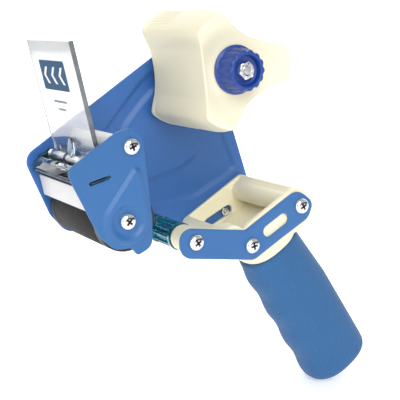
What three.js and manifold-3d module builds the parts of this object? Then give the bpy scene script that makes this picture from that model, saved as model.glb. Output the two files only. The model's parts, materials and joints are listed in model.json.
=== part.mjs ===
// Hand-held tape gun for 3 inch (76 mm) packing tape.
// Millimetres. +X forward (towards the application roller), +Y towards the open
// loading side, +Z up. All parts are drawn about the tape hub's axis and the
// whole assembly is then shifted so the origin is at the centre of its base.
import * as THREE from 'three';
import * as BGU from 'three/addons/utils/BufferGeometryUtils.js';
import Module from 'manifold-3d';

// ---------------------------------------------------------------- dimensions
const SHIFT = [-0.903, 37.45, 219.9];   // hub axis point -> base centre origin
const T = 1.5;                         // steel plate thickness
const NEAR_OUT = 1.0, NEAR_IN = NEAR_OUT - T;    // near plates, Y
const FAR_IN = -78.0, FAR_OUT = FAR_IN - T;      // far plate, Y
const GAP = 0.3;                       // clearance between touching pieces
const HUB_R = 38, HUB_WAIST = 23, HUB_HALF = 17.2, HUB_DEPTH = 73.5, HUB_TURN = 7.24;
const ROLLER = [78.7, -87.6], ROLLER_R = 19;
const GUIDE = [75.9, -42.9], GUIDE_R = 5;
const IDLER = [32.1, -105.4], IDLER_R = 9;
const MID = [-9.0, -111.8], REAR = [-46.7, -89.4];
const FLAP_PIN = [95.5, -54.5], GUARD_PIN = [102.5, -58.3];
const GRIP_TOP = [-35.5, -119.3], GRIP_AX = [-0.554, -0.8325], GRIP_Y = -22;
const GRIP_PERP = [0.8325, -0.554];
const SCREW_HEAD_R = 5.2, SHANK_R = 1.9;

const wasm = await Module(); wasm.setup();

// ------------------------------------------------------------------- helpers
const clean = (g) => {                 // merge shared corners, drop collapsed triangles
  const h = g.clone(); h.deleteAttribute('normal'); h.deleteAttribute('uv');
  const m = BGU.mergeVertices(h, 1e-4), q = m.index.array, keep = [];
  for (let i = 0; i < q.length; i += 3) if (q[i] !== q[i + 1] && q[i + 1] !== q[i + 2] && q[i] !== q[i + 2]) keep.push(q[i], q[i + 1], q[i + 2]);
  m.setIndex(keep); return m;
};
const solid = (g) => {
  const m = clean(g);
  return new wasm.Manifold(new wasm.Mesh({ numProp: 3,
    vertProperties: Float32Array.from(m.attributes.position.array),
    triVerts: Uint32Array.from(m.index.array) }));
};
const geom = (s) => {
  const m = s.getMesh(); const g = new THREE.BufferGeometry();
  g.setAttribute('position', new THREE.BufferAttribute(Float32Array.from(m.vertProperties), 3));
  g.setIndex(new THREE.BufferAttribute(Uint32Array.from(m.triVerts), 1));
  g.computeVertexNormals(); return g;
};
const cut = (a, ...bs) => geom(bs.reduce((s, b) => s.subtract(solid(b)), solid(a)));
const join = (a, ...bs) => geom(bs.reduce((s, b) => s.add(solid(b)), solid(a)));

// outline with filleted corners: [[x, z, r], ...]
function rounded(pts, n = 5) {
  const out = [], L = pts.length;
  for (let i = 0; i < L; i++) {
    const p = pts[i], r = p[2] || 0;
    if (!r) { out.push([p[0], p[1]]); continue; }
    const a = pts[(i + L - 1) % L], b = pts[(i + 1) % L];
    const u = new THREE.Vector2(a[0] - p[0], a[1] - p[1]), v = new THREE.Vector2(b[0] - p[0], b[1] - p[1]);
    const lu = u.length(), lv = v.length(); u.normalize(); v.normalize();
    const half = Math.acos(THREE.MathUtils.clamp(u.dot(v), -1, 1)) / 2;
    let t = r / Math.tan(half); const cap = 0.48 * Math.min(lu, lv); if (t > cap) t = cap;
    const rr = t * Math.tan(half), w = u.clone().add(v).normalize(), d = rr / Math.sin(half);
    const c = new THREE.Vector2(p[0], p[1]).addScaledVector(w, d);
    const s = new THREE.Vector2(p[0], p[1]).addScaledVector(u, t), e = new THREE.Vector2(p[0], p[1]).addScaledVector(v, t);
    let a0 = Math.atan2(s.y - c.y, s.x - c.x), a1 = Math.atan2(e.y - c.y, e.x - c.x);
    let da = a1 - a0; while (da > Math.PI) da -= 2 * Math.PI; while (da < -Math.PI) da += 2 * Math.PI;
    for (let k = 0; k <= n; k++) out.push([c.x + rr * Math.cos(a0 + da * k / n), c.y + rr * Math.sin(a0 + da * k / n)]);
  }
  return out;
}
const ring2 = (c, r, n = 16, ph = 0) => Array.from({ length: n }, (_, i) =>
  [c[0] + r * Math.cos(ph + 2 * Math.PI * i / n), c[1] + r * Math.sin(ph + 2 * Math.PI * i / n)]);
// prism of an x-z outline between two Y planes, with through holes
function prism(pts, y0, y1, holes = []) {
  const sh = new THREE.Shape(pts.map(p => new THREE.Vector2(p[0], p[1])));
  for (const h of holes) sh.holes.push(new THREE.Path(h.map(p => new THREE.Vector2(p[0], p[1]))));
  const g = new THREE.ExtrudeGeometry(sh, { depth: y1 - y0, bevelEnabled: false, steps: 1 });
  g.rotateX(Math.PI / 2); g.translate(0, y1, 0); return g;
}
// revolve about a Y-parallel axis through (x, z); profile [[r, y], ...]
function turned(profile, c, seg = 24) {
  const p = profile.map(q => new THREE.Vector2(q[0], q[1]));
  if (profile[0][0] > 0) p.push(p[0].clone());
  const g = new THREE.LatheGeometry(p, seg); g.translate(c[0], 0, c[1]); return clean(g);
}
const tube = (ri, ro, y0, y1, c, seg = 24) => turned([[ri, y0], [ro, y0], [ro, y1], [ri, y1]], c, seg);
const rod = (r, y0, y1, c, seg = 20) => turned([[0, y0], [r, y0], [r, y1], [0, y1]], c, seg);
const slotHole = (a, b, w, n = 8) => {      // stadium outline
  const d = new THREE.Vector2(b[0] - a[0], b[1] - a[1]).normalize(), t = Math.atan2(d.y, d.x), o = [];
  for (let k = 0; k <= n; k++) { const q = t + Math.PI / 2 + Math.PI * k / n; o.push([a[0] + w * Math.cos(q), a[1] + w * Math.sin(q)]); }
  for (let k = 0; k <= n; k++) { const q = t - Math.PI / 2 + Math.PI * k / n; o.push([b[0] + w * Math.cos(q), b[1] + w * Math.sin(q)]); }
  return o;
};
// skin through closed rings of equal count (each ring [[x,y,z],...]), capped
function loft(rings) {
  const n = rings[0].length, v = [], idx = [];
  rings.forEach(r => r.forEach(p => v.push(...p)));
  for (let j = 0; j + 1 < rings.length; j++) for (let i = 0; i < n; i++) {
    const a = j * n + i, b = j * n + (i + 1) % n, c = a + n, d = b + n; idx.push(a, b, d, a, d, c);
  }
  const cap = (j, flip) => {
    const k = v.length / 3; let s = [0, 0, 0];
    rings[j].forEach(p => { s[0] += p[0] / n; s[1] += p[1] / n; s[2] += p[2] / n; }); v.push(...s);
    for (let i = 0; i < n; i++) { const a = j * n + i, b = j * n + (i + 1) % n; flip ? idx.push(k, b, a) : idx.push(k, a, b); }
  };
  cap(0, true); cap(rings.length - 1, false);
  const g = new THREE.BufferGeometry(); g.setAttribute('position', new THREE.Float32BufferAttribute(v, 3)); g.setIndex(idx);
  // make the skin face outward whatever the ring direction
  const p = g.attributes.position, q = g.index; let vol = 0; const A = new THREE.Vector3(), B = new THREE.Vector3(), C = new THREE.Vector3();
  for (let i = 0; i < q.count; i += 3) { A.fromBufferAttribute(p, q.getX(i)); B.fromBufferAttribute(p, q.getX(i + 1)); C.fromBufferAttribute(p, q.getX(i + 2)); vol += A.dot(B.cross(C)); }
  if (vol < 0) for (let i = 0; i < q.count; i += 3) { const t = q.getX(i + 1); q.setX(i + 1, q.getX(i + 2)); q.setX(i + 2, t); }
  return g;
}
function coil(c, r, wire, y0, y1, turns, per = 10, sides = 5) {
  const pts = []; const n = Math.round(turns * per);
  for (let i = 0; i <= n; i++) { const a = 2 * Math.PI * i / per; pts.push(new THREE.Vector3(c[0] + r * Math.cos(a), y0 + (y1 - y0) * i / n, c[1] + r * Math.sin(a))); }
  const rings = pts.map((p, i) => {
    const t = (pts[Math.min(i + 1, n)].clone().sub(pts[Math.max(i - 1, 0)])).normalize();
    const o = new THREE.Vector3(p.x - c[0], 0, p.z - c[1]).normalize(), b = new THREE.Vector3().crossVectors(t, o).normalize();
    return Array.from({ length: sides }, (_, k) => { const q = 2 * Math.PI * k / sides;
      const w = p.clone().addScaledVector(o, wire * Math.cos(q)).addScaledVector(b, wire * Math.sin(q)); return [w.x, w.y, w.z]; });
  });
  return loft(rings);
}

const mats = {
  blue_steel: new THREE.MeshStandardMaterial({ color: 0x4a80c4, roughness: 0.42, metalness: 0.25 }),
  cream: new THREE.MeshStandardMaterial({ color: 0xefe8cc, roughness: 0.5, metalness: 0 }),
  foam: new THREE.MeshStandardMaterial({ color: 0x467ab4, roughness: 0.95, metalness: 0 }),
  knob: new THREE.MeshStandardMaterial({ color: 0x3a5fae, roughness: 0.35, metalness: 0 }),
  chrome: new THREE.MeshStandardMaterial({ color: 0xd8d8dc, roughness: 0.1, metalness: 1 }),
  steel: new THREE.MeshStandardMaterial({ color: 0x9a9ca0, roughness: 0.3, metalness: 1 }),
  rubber: new THREE.MeshStandardMaterial({ color: 0x3c3c3e, roughness: 0.8, metalness: 0 }),
  black: new THREE.MeshStandardMaterial({ color: 0x161618, roughness: 0.5, metalness: 0 }),
  white: new THREE.MeshStandardMaterial({ color: 0xf2f1f0, roughness: 0.4, metalness: 0 }),
  clear: new THREE.MeshStandardMaterial({ color: 0xe8f2f8, roughness: 0.05, metalness: 0, transparent: true, opacity: 0.35 }),
  teal: new THREE.MeshStandardMaterial({ color: 0x0e6f8c, roughness: 0.15, metalness: 0, transparent: true, opacity: 0.7 }),
};
const inner = new THREE.Group(); inner.position.set(...SHIFT);
const groups = {};
const add = (name, g, mat, grp = 'frame') => {
  if (!groups[grp]) { groups[grp] = new THREE.Group(); inner.add(groups[grp]); }
  const m = new THREE.Mesh(g, mats[mat]); m.name = name; groups[grp].add(m); return m;
};

// ------------------------------------------------------------- steel plates
const HOLE = 2.3;
const slotTab = [[102.6, -64.55], [102.6, -62.5], [89.3, -58.9], [89.3, -60.95]];  // slot for the bridge tab
const farOutline = rounded([
  [114.6, -56.2, 9], [15.93, 10.0, 0], [15.0, 10.6, 0], [9.0, 13.9, 0], [2.0, 18.4, 0], [-5.7, 19.8, 0], [-14.0, 18.1, 0],
  [-21.5, 12.6, 0], [-25.9, 4.6, 0], [-27.0, -2.0, 0],
  [-57.6, -90.2, 9], [-46.5, -101.8, 6], [-16.7, -119.9, 5], [-7.6, -120.4, 8], [32.0, -115.6, 10], [60, -109.0, 12],
  [86.5, -107.4, 12], [97.2, -95.2, 10]], 5);
add('frame_plate', prism(farOutline, FAR_OUT, FAR_IN, [
  ring2([0, 0], 3.4, 18), ring2(ROLLER, HOLE), ring2(GUIDE, HOLE), ring2(IDLER, HOLE), ring2(MID, HOLE), ring2(REAR, HOLE), slotTab]), 'blue_steel');

const nearOutline = rounded([
  [76.5, -31.6, 7], [86.0, -34.4, 5], [95.6, -40.8, 0], [102, -44.8, 0], [116.4, -54.6, 8], [113.8, -62.0, 4], [96.4, -96.2, 12], [86.5, -104.4, 10],
  [76.2, -104.2, 2.5], [72.0, -109.2, 2.5], [62.2, -104.6, 7], [62.0, -88, 0], [64.9, -63.6, 0], [68.2, -36.2, 8]], 5);
add('side_plate', prism(nearOutline, NEAR_IN, NEAR_OUT, [ring2(ROLLER, HOLE), ring2(GUIDE, HOLE), slotTab]), 'blue_steel');

const bracketOutline = rounded([
  [43.6, -95.3, 9.3], [43.2, -114.6, 9.3], [-11.0, -121.6, 8], [-31.0, -110.0, 0], [-52.6, -98.0, 9.2], [-57.4, -87.6, 9.2], [-43.6, -78.2, 9.2], [-4.2, -101.4, 7]], 6);
add('handle_bracket', prism(bracketOutline, NEAR_IN, NEAR_OUT, [ring2(IDLER, HOLE), ring2(MID, HOLE), ring2(REAR, HOLE),
  slotHole([-33.0, -97.0], [-21.6, -103.6], 3.9)]), 'blue_steel');

// --------------------------------------------------------------- handle body
const Q = [-0.860, 0.511], M = [0.511, 0.860];
const qm = (q, m) => [MID[0] + q * Q[0] + m * M[0], MID[1] + q * Q[1] + m * M[1]];
const bodyIn = FAR_IN + GAP, bodyOut = NEAR_IN - GAP;
{
  const outer = prism(rounded([[...qm(-9, -8.5), 4], [...qm(-9.5, 4), 0], [...qm(-4, 8.2), 5], [...qm(52.6, 9.4), 4.5], [...qm(51.5, -9), 9], [...qm(40, -14), 6], [...qm(0, -13.5), 8]], 4), bodyIn, bodyOut);
  const nearWall = prism(rounded([[...qm(-5, 2), 0], [...qm(-3, 10), 4], [...qm(6, 12.6), 5], [...qm(45.5, 12.2), 6], [...qm(52.0, 8.8), 4], [...qm(50.5, 0), 0]], 4), bodyOut - 4.5, bodyOut);
  const hollow = prism(rounded([[...qm(2.5, -10.5), 4], [...qm(-1.5, 16), 0], [...qm(49.0, 16), 0], [...qm(48.4, -10.8), 8]], 4), bodyIn + 3.2, bodyOut - 4.5);
  const window_ = prism(slotHole(qm(28, -6.9), qm(10, -5.6), 3.4), bodyIn - 1, bodyIn + 5);
  const boss = rod(8.5, -17.5, bodyOut, IDLER, 24);
  const mound = rod(11, -16, bodyOut, [3.5, -109.2], 28);
  const web = prism([[-12, -117.4], [32, -113.2], [32, -98.4], [-3, -102.4], [-14, -106]], -14.5, bodyOut);
  const oval = (s, a, b, n = 28, y = GRIP_Y) => Array.from({ length: n }, (_, i) => {
    const t = 2 * Math.PI * i / n, c = Math.cos(t), d = Math.sin(t), e = 0.8;
    const w = a * Math.sign(c) * Math.abs(c) ** e, h = b * Math.sign(d) * Math.abs(d) ** e;
    return [GRIP_TOP[0] + s * GRIP_AX[0] + w * GRIP_PERP[0], y + h, GRIP_TOP[1] + s * GRIP_AX[1] + w * GRIP_PERP[1]];
  });
  const collar = loft([oval(-16, 17, 17), oval(-7, 20.6, 19.2), oval(-2.2, 20.6, 19.6), oval(-0.9, 19.4, 18.4)]);
  const stem = loft([oval(-10, 12.5, 11), oval(30, 12.5, 11), oval(90, 12.0, 10.5), oval(94, 10, 9)]);
  const crossTube = rod(7.6, bodyIn, bodyOut, REAR, 28);       // screw tube across the rear end, blended into the rear wall
  const rearFill = prism([qm(43.6, 7.2), qm(43.6, -2), qm(50.5, -4), qm(50.5, 9.0)], bodyIn + 0.5, bodyOut - 0.5);
  let body = solid(outer).add(solid(collar)).add(solid(stem)).subtract(solid(hollow)).add(solid(nearWall)).add(solid(boss)).add(solid(mound)).add(solid(crossTube)).add(solid(rearFill)).add(solid(web)).subtract(solid(window_));
  for (const c of [MID, REAR]) {             // screw bosses inside both side walls
    body = body.add(solid(rod(4.6, bodyIn, bodyIn + 10, c, 20))).add(solid(rod(4.6, bodyOut - 10, bodyOut, c, 20)));
    body = body.subtract(solid(rod(2.2, bodyIn - 5, bodyIn + 8.5, c, 16))).subtract(solid(rod(2.2, bodyOut - 8.5, bodyOut + 5, c, 16)));
  }
  body = body.subtract(solid(rod(2.9, -90, 10, IDLER, 16)));
  add('handle_body', geom(body), 'cream');

  // foam sleeve over the stem, four shallow finger grooves on the front
  const grip = (s) => {
    const f = s < 0 ? 20.8 : 22.6 + 0.75 * Math.cos(2 * Math.PI * (s - 16) / 27) + 0.012 * s, b = 21.4 + 3.4 * Math.min(1, Math.max(0, s / 40));
    return [f, b, 19.4];
  };
  const sec = (s, k = 1, n = 28) => { const [f, b, h] = grip(s); return Array.from({ length: n }, (_, i) => {
    const t = 2 * Math.PI * i / n, c = Math.cos(t), d = Math.sin(t), e = 0.82;
    const w = (c > 0 ? f : b) * k * Math.sign(c) * Math.abs(c) ** e, y = h * k * Math.sign(d) * Math.abs(d) ** e;
    return [GRIP_TOP[0] + s * GRIP_AX[0] + w * GRIP_PERP[0], GRIP_Y + y, GRIP_TOP[1] + s * GRIP_AX[1] + w * GRIP_PERP[1]]; }); };
  const rings = []; for (let s = -0.5; s <= 100; s += 6.7) rings.push(sec(s));
  rings.push(sec(103, 0.99), sec(105.4, 0.955), sec(107, 0.89), sec(107.9, 0.78), sec(108.3, 0.6), sec(108.5, 0.4));
  const sleeve = solid(loft(rings)).subtract(solid(loft([oval(-4, 12.8, 11.3), oval(30, 12.8, 11.3), oval(90.4, 12.3, 10.8), oval(94.4, 10.2, 9.2)])));
  add('foam_grip', geom(sleeve), 'foam');
}

// ---------------------------------------------------------------- tape hub
function hubOutline(R, waist, half, n = 5, m = 9) {
  const D = Math.PI / 180, out = [];
  for (let l = 0; l < 3; l++) {
    const c = (l * 120 + 180 - HUB_TURN) * D;
    for (let k = 0; k < n; k++) { const a = c + (-half + 2 * half * k / (n - 1)) * D; out.push([R * Math.cos(a), R * Math.sin(a)]); }
    // concave flank: circle through both lobe ends and the waist point
    const a1 = half * D, h = R * Math.cos(Math.PI / 3 - a1), s = R * Math.sin(Math.PI / 3 - a1), sag = h - waist;
    const rr = (s * s + sag * sag) / (2 * sag), mid = c + Math.PI / 3, cc = waist + rr, A = Math.asin(s / rr);
    for (let k = 1; k < m; k++) { const t = -A + 2 * A * k / m, d = cc - rr * Math.cos(t), e = rr * Math.sin(t);
      out.push([d * Math.cos(mid) - e * Math.sin(mid), d * Math.sin(mid) + e * Math.cos(mid)]); }
  }
  return out;
}
{
  const o = hubOutline(HUB_R, HUB_WAIST, HUB_HALF), at = (k, y) => o.map(p => [p[0] * k, y, p[1] * k]);
  // the near face is a shallow dish round the knob seat, so its rim drops back between the lobes
  const dish = (r) => { const t = Math.min(1, Math.max(0, (r - 17) / 19.5)); return -6.4 * (1 - t * t * (3 - 2 * t)); };
  const face = (k, drop = 0) => o.map(p => [p[0] * k, dish(k * Math.hypot(p[0], p[1])) - drop, p[1] * k]);
  const crest = (kk, y) => o.map(p => { const k = 1 + kk * Math.min(1, Math.max(0, (Math.hypot(p[0], p[1]) - 29) / 8)); return [p[0] * k, y, p[1] * k]; });
  const outer = loft([crest(0.07, -HUB_DEPTH), crest(0.062, -69.4), crest(0.062, -18), crest(0.04, -9), face(1.0, 1.6), face(0.975), face(0.9), face(0.8), face(0.7), face(0.6), face(0.52), face(0.42)]);
  const i2 = hubOutline(HUB_R - 2.6, HUB_WAIST - 2.6, HUB_HALF - 1.5), ai = (k, y) => i2.map(p => [p[0] * k, y, p[1] * k]);
  const hollow = loft([ai(1.0, -HUB_DEPTH - 1), ai(1.0, -9), ai(0.8, -10.2), ai(0.5, -10.8)]);
  const post = rod(8.0, -72.5, -8, [0, 0], 24);
  let h = solid(outer).subtract(solid(hollow)).add(solid(post));
  h = h.subtract(solid(rod(3.35, -90, 5, [0, 0], 24)));
  add('tape_hub', geom(h), 'cream', 'hub');
}
const hex = (af, ph = 0) => ring2([0, 0], af / Math.sqrt(3), 6, ph);
const at2 = (pts, c) => pts.map(p => [p[0] + c[0], p[1] + c[1]]);
add('hub_bolt', join(rod(2.95, -79.9, 8.6, [0, 0], 24), prism(hex(10), -83.9, -79.8)), 'steel');
add('hub_lock_nut', prism(hex(10, 0.3), -77.7, -74.2, [ring2([0, 0], 3.25, 24)]), 'steel');
add('drag_washer', tube(3.25, 6.6, -5.95, -5.35, [0, 0], 24), 'steel');
{
  // fluted drag knob with a recessed face and a spring pocket behind
  const n = 60, flute = (r, d, y) => Array.from({ length: n }, (_, i) => { const a = 2 * Math.PI * i / n; const q = r - d * (0.5 - 0.5 * Math.cos(12 * a)) ** 2; return [q * Math.cos(a), y, q * Math.sin(a)]; });
  let k = solid(loft([flute(15.5, 0, -6.0), flute(15.5, 0, -4.4), flute(14.2, 0.2, -4.0), flute(13.9, 1.1, -3.2), flute(13.3, 1.1, 7.0), flute(12.5, 0.9, 9.0)]));
  k = k.subtract(solid(turned([[0, 4.2], [8.6, 4.2], [9.4, 10], [0, 10]], [0, 0], 30)));
  k = k.subtract(solid(rod(3.4, -10, 10, [0, 0], 24))).subtract(solid(rod(7.0, -8, 1.4, [0, 0], 24)));
  add('tension_knob', geom(k), 'knob', 'knob');
}
add('knob_nut', prism(hex(10, 0.2), 4.5, 8.2, [ring2([0, 0], 3.25, 24)]), 'chrome');
add('drag_spring', coil([0, 0], 5.3, 0.6, -4.6, 0.6, 3.5, 12, 6), 'steel');

// -------------------------------------------------------------- front roller
const y0 = -76.8, y1 = -1.4;
add('roller_sleeve', tube(14.3, ROLLER_R, y0 + 2.4, y1 - 2.4, ROLLER, 36), 'rubber', 'roller');
add('roller_core', tube(9.3, 14.0, y0 + 2.3, y1 - 2.3, ROLLER, 32), 'black', 'roller');
const flange = (a, s) => turned(s > 0 ? [[2.8, a - 9], [9.0, a - 9], [9.0, a - 2.0], [18.9, a - 2.0], [18.9, a - 0.5], [18.3, a], [2.8, a]]
  : [[2.8, a], [18.3, a], [18.9, a + 0.5], [18.9, a + 2.0], [9.0, a + 2.0], [9.0, a + 9], [2.8, a + 9]], ROLLER, 32);
add('roller_flange_near', flange(y1, 1), 'black', 'roller');
add('roller_flange_far', flange(y0, -1), 'black', 'roller');

// axle with a blind tapped bore at each end
const axle = (c, r = 2.5) => turned([[0, FAR_IN + 0.3 + 8], [2.2, FAR_IN + 0.3 + 8], [2.2, FAR_IN + 0.3], [r, FAR_IN + 0.3], [r, NEAR_IN - 0.3], [2.2, NEAR_IN - 0.3], [2.2, NEAR_IN - 8.3], [0, NEAR_IN - 8.3]], c, 20);
add('roller_axle', axle(ROLLER), 'steel');
add('guide_axle', axle(GUIDE), 'steel');
add('idler_axle', axle(IDLER), 'steel');
add('guide_roller', tube(2.9, GUIDE_R, -76.6, -1.6, GUIDE, 24), 'white', 'guide');
add('idler_roller', tube(2.9, IDLER_R, -76.6, -18.2, IDLER, 28), 'teal', 'idler');

// ----------------------------------------------------------------- fasteners
const domeProfile = (s, y, len, r = SHANK_R) => { // s=+1 head points to +Y
  const R = SCREW_HEAD_R, p = [[0, y - s * len], [r, y - s * len], [r, y], [R, y], [R, y + s * 0.5], [R * 0.88, y + s * 1.9], [R * 0.55, y + s * 2.8], [0, y + s * 3.2]];
  return s > 0 ? p : p.reverse();
};
const screw = (name, c, s, len, r) => add(name, turned(domeProfile(s, s > 0 ? NEAR_OUT + 0.25 : FAR_OUT - 0.25, len, r), c, 18), 'chrome');
screw('side_screw_top', GUIDE, 1, 9); screw('side_screw_roller', ROLLER, 1, 9); screw('bracket_screw_front', IDLER, 1, 9);
screw('bracket_screw_mid', MID, 1, 9); screw('bracket_screw_rear', REAR, 1, 9);
screw('far_screw_top', GUIDE, -1, 9); screw('far_screw_roller', ROLLER, -1, 9); screw('far_screw_front', IDLER, -1, 9);
screw('far_screw_mid', MID, -1, 9); screw('far_screw_rear', REAR, -1, 9);
{ // short stud and nut on the far plate, seen through the tray's window
  const c = qm(25.5, -6.7);
  add('tray_stud', join(rod(1.7, FAR_IN + 0.25, -72.0, c, 16), prism(at2(hex(5.2), c), FAR_IN + 0.25, -74.6)), 'chrome');
}

// -------------------------------------------------------- blade, guard, flap
const strip = (pts, w) => { // constant width band along a polyline, as an outline
  const L = [], R = []; for (let i = 0; i < pts.length; i++) {
    const a = pts[Math.max(0, i - 1)], b = pts[Math.min(pts.length - 1, i + 1)], p = pts[i];
    let n; if (i > 0 && i < pts.length - 1) {
      const u = new THREE.Vector2(p[0] - a[0], p[1] - a[1]).normalize(), v = new THREE.Vector2(b[0] - p[0], b[1] - p[1]).normalize();
      const t = u.clone().add(v).normalize(); n = new THREE.Vector2(-t.y, t.x).multiplyScalar(1 / Math.max(0.35, t.dot(u)));
    } else { const t = new THREE.Vector2(b[0] - a[0], b[1] - a[1]).normalize(); n = new THREE.Vector2(-t.y, t.x); }
    L.push([p[0] + n.x * w / 2, p[1] + n.y * w / 2]); R.push([p[0] - n.x * w / 2, p[1] - n.y * w / 2]);
  } return L.concat(R.reverse());
};
const bIn = FAR_IN + 0.4, bOut = NEAR_IN - 0.4;
const E = [-0.226, -0.974], N = [-0.974, 0.226], A0 = [104.8, -66.5];
const en = (e, n) => [A0[0] + e * E[0] + n * N[0], A0[1] + e * E[1] + n * N[1]];
{
  const body = prism(strip([[89.9, -60.1], [102.0, -63.4], [106.6, -64.65], [102.6, -66.6], en(13, 2.1)], 1.2), bIn, bOut);
  const tab = (a, b) => prism([[90.0, -59.55], [101.9, -62.8], [101.6, -63.9], [89.7, -60.65]], a, b);
  const ear = (a) => prism(rounded([[90.5, -60.6, 0], [91.2, -53.0, 3], [96.5, -49.8, 3], [100.5, -53.0, 0], [105.2, -54.6, 2.5], [106.4, -60.0, 0], [105.4, -64.2, 0], [101.8, -63.3, 0]], 4), a, a + 1.2,
    [ring2(FLAP_PIN, 1.9, 14), ring2(GUARD_PIN, 1.4, 14)]);
  add('blade_bridge', join(body, tab(FAR_OUT + 0.1, bIn + 1), tab(bOut - 1, NEAR_OUT - 0.1), ear(-76.2), ear(-3.2)), 'steel');
}
add('wiper_panel', prism([en(1.0, 0), en(14.8, 0), en(14.8, 1.2), en(1.0, 1.2)], -77.2, -1.2), 'white');
{
  const p = [], n = 23, a = -74.6, b = -3.6, st = (b - a) / n;   // root at u = 0, teeth 2.1 mm high
  p.push([0, a]); for (let i = 0; i < n; i++) { p.push([8.2, a + st * i + 0.05]); p.push([10.3, a + st * (i + 0.5)]); } p.push([8.2, b - 0.05]); p.push([0, b]);
  const sh = new THREE.Shape(p.map(q => new THREE.Vector2(q[0], q[1])));
  const g = new THREE.ExtrudeGeometry(sh, { depth: 0.8, bevelEnabled: false, steps: 1 });
  g.rotateY(Math.atan(0.2727)); g.translate(99.0, 0, -61.66);
  add('cutting_blade', g, 'steel');
}
add('flap_pin', rod(1.6, -77.2, -1.6, FLAP_PIN, 14), 'steel');
add('guard_pin', rod(1.1, -77.2, -1.6, GUARD_PIN, 14), 'steel');
{
  const sheet = prism(strip([[110.3, 18.6], [96.3, -40.0], [93.8, -46.5], [92.7, -53.5]], 3.0), -73.6, -4.2);
  const ringK = (a, b) => rod(4.0, a, b, FLAP_PIN, 24);
  let f = solid(sheet).add(solid(ringK(-73.6, -48))).add(solid(ringK(-30, -4.2)));
  f = f.subtract(solid(prism([[88, -48.4], [103, -48.4], [103, -60], [88, -60]], -47.9, -30.1))).subtract(solid(rod(1.9, -90, 5, FLAP_PIN, 20)));
  add('tape_flap', geom(f), 'clear', 'flap');
}
{
  const plate = prism(strip([[103.2, -56.4], [108.0, -57.6], [110.3, -61.4]], 1.4), -73.6, -4.2);
  const k = (a, b) => rod(2.5, a, b, GUARD_PIN, 20);
  let g = solid(plate).add(solid(k(-73.6, -46))).add(solid(k(-34, -4.2)));
  g = g.subtract(solid(prism([[98, -54], [106.2, -54], [106.2, -62.0], [98, -62.0]], -45.9, -34.1))).subtract(solid(rod(1.4, -90, 5, GUARD_PIN, 18)));
  add('blade_guard', geom(g), 'clear', 'guard');
}
add('flap_spring', coil(FLAP_PIN, 2.7, 0.4, -46.5, -31.5, 6, 10, 5), 'steel');
add('guard_spring', coil(GUARD_PIN, 1.9, 0.35, -44.6, -35.4, 5, 10, 5), 'steel');

const tapeGun = new THREE.Group();
tapeGun.add(inner);
export default tapeGun;
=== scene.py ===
# Looks for the tape gun dispenser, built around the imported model.
import math, json
import bpy, bmesh
import numpy as np
from mathutils import Vector, Matrix
from mathutils.geometry import delaunay_2d_cdt


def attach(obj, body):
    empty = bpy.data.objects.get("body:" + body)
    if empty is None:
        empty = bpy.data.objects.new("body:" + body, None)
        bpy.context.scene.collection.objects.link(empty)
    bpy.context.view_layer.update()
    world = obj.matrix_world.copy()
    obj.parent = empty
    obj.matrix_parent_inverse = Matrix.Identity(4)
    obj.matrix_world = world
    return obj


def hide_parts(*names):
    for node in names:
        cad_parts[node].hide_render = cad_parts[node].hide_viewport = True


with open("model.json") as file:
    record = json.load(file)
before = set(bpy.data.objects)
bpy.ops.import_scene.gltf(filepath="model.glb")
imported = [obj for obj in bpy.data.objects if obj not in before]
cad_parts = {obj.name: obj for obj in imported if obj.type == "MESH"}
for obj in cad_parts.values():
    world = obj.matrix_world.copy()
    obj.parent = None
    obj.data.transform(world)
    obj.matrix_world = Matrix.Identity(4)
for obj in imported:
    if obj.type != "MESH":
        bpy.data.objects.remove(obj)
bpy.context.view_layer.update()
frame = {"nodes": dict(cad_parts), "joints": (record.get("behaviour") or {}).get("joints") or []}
NODES = frame["nodes"]
JOINTS = {j["name"]: j for j in frame["joints"]}
hp = JOINTS["hub_spin"]["pos_m"]
# Drawing frame: millimetres about the hub axis, X forward, Y to the open side, Z up.
SH = np.array([hp[0] * 1000, hp[1] * 1000 + 38.0, hp[2] * 1000])
NEAR_OUT, NEAR_IN, FAR_IN, FAR_OUT = 1.0, -0.5, -78.0, -79.5
ROLLER, GUIDE, IDLER = (78.7, -87.6), (75.9, -42.9), (32.1, -105.4)
MID, REAR = (-9.0, -111.8), (-46.7, -89.4)
FLAP_PIN, GUARD_PIN = (95.5, -54.5), (102.5, -58.3)


def W(p):
    return tuple((np.asarray(p, float) + SH) / 1000.0)


# ------------------------------------------------------------------ materials
def socket(nt, node, name, value):
    node.inputs[name].default_value = value


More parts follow.
